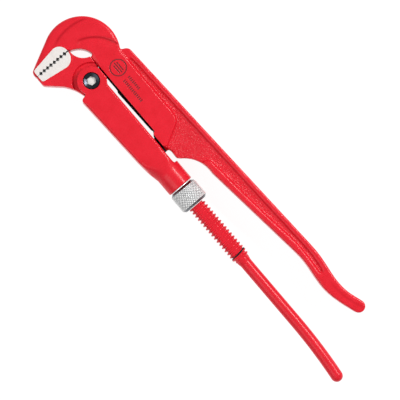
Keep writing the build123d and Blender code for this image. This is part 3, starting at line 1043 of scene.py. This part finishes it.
def leg_fork():
    """The fork, which the sleeve hides: the CAD node up to where the thread starts."""
    fork = copy_of("threaded_leg", "leg_fork")
    edit = bmesh.new()
    edit.from_mesh(fork.data)
    geometry = edit.verts[:] + edit.edges[:] + edit.faces[:]
    plane = world(FORK_CUT_X, 0)
    cut_at = bmesh.ops.bisect_plane(
        edit, geom=geometry, plane_co=plane, plane_no=(1, 0, 0), clear_outer=True
    )
    edges = [e for e in cut_at["geom_cut"] if isinstance(e, bmesh.types.BMEdge)]
    bmesh.ops.holes_fill(edit, edges=edges)
    edit.to_mesh(fork.data)
    edit.free()
    give(fork, RED)
    smooth_shade(fork, 30)
    finish_piece(fork, "threaded_leg", "red_enamel", "threaded_leg")


# ---------------------------------------------------------------- stage


def stage():
    """A pale floor, which glows faintly."""
    floor = bpy.data.meshes.new("floor")
    z = -FLOOR_GAP * MM
    signs = ((-1, -1), (1, -1), (1, 1), (-1, 1))
    corners = [(FLOOR_HALF * i, FLOOR_HALF * j, z) for i, j in signs]
    floor.from_pydata(corners, [], [(0, 1, 2, 3)])
    obj = new_object("floor", floor)
    m = Nodes("floor_paper")
    m.feed("Base Color", m.blend(m.noise(40.0), (0.13, 0.13, 0.13), (0.15, 0.15, 0.15)))
    m.feed("Roughness", 0.9)
    m.feed("Specular IOR Level", 0.1)
    m.feed("Emission Color", (1.0, 1.0, 1.0))
    m.feed("Emission Strength", FLOOR_GLOW)
    give(obj, m.material)


def softbox(name, direction, length, width, power):
    """A lamp, its length along X, that shines on the wrench from a direction."""
    lamp = bpy.data.lights.new(name, "AREA")
    lamp.shape = "RECTANGLE"
    lamp.size = length
    lamp.size_y = width
    lamp.energy = power
    obj = new_object(name, lamp)
    target = world(*VIEW_TARGET)
    towards = Vector(direction).normalized()
    obj.location = target + towards * LAMP_DISTANCE
    obj.rotation_euler = towards.to_track_quat("Z", "Y").to_euler()


def lights():
    """Soft light all round, a narrow key lamp on the long leg's side and a fill opposite."""
    world_light = bpy.data.worlds.new("studio")
    world_light.use_nodes = True
    nodes, links = world_light.node_tree.nodes, world_light.node_tree.links
    background = nodes["Background"]
    height = nodes.new("ShaderNodeSeparateXYZ")
    links.new(nodes.new("ShaderNodeTexCoord").outputs["Generated"], height.inputs[0])
    fade = nodes.new("ShaderNodeMapRange")
    fade.inputs["To Min"].default_value = SKY_LEVEL
    fade.inputs["To Max"].default_value = SKY_ABOVE
    links.new(height.outputs["Z"], fade.inputs["Value"])
    links.new(fade.outputs["Result"], background.inputs["Strength"])
    background.inputs["Color"].default_value = (1, 1, 1, 1)
    bpy.context.scene.world = world_light
    softbox("key", KEY_FROM, KEY_LENGTH, KEY_WIDTH, KEY_POWER)
    softbox("fill", FILL_FROM, FILL_SIZE, FILL_SIZE, FILL_POWER)
    bpy.context.scene.view_settings.view_transform = "Standard"


def camera():
    """Looks down on the wrench, turned so that it lies across the view."""
    data = bpy.data.cameras.new("camera")
    obj = new_object("camera", data)
    tilt, roll = math.radians(VIEW_TILT), math.radians(VIEW_ROLL)
    back = Vector((0, -math.sin(tilt), math.cos(tilt)))
    right = Vector((math.cos(roll), math.sin(roll), 0))
    right = (right - back * right.dot(back)).normalized()
    up = back.cross(right)
    rotation = Matrix((right, up, back)).transposed().to_4x4()
    obj.matrix_world = Matrix.Translation(world(*VIEW_TARGET) + back * VIEW_DISTANCE) @ rotation
    data.sensor_width = 36.0
    data.lens = data.sensor_width * VIEW_DISTANCE / (VIEW_WIDTH * MM)
    data.clip_end = 20.0
    bpy.context.scene.camera = obj


def main():
    """Builds what the CAD nodes look like, and the stage."""
    long_leg_forging()
    jaw_teeth("hook_jaw_teeth", -1, "long_leg", "long_leg")
    lower_jaw_forging()
    jaw_teeth("lower_jaw_teeth", 1, "lower_jaw", "lower_jaw")
    sleeve_forging()
    pivot_bolt()
    adjusting_nut()
    threaded_leg()
    leg_fork()
    plain = {"pivot_nut": BLACK, "stop_ring": BLACK, "leg_hinge_pin": STEEL, "nut_snap_ring": BLACK}
    for node, material in plain.items():
        for slot in frame["nodes"][node].material_slots:
            slot.material = material
    stage()
    lights()
    camera()


main()
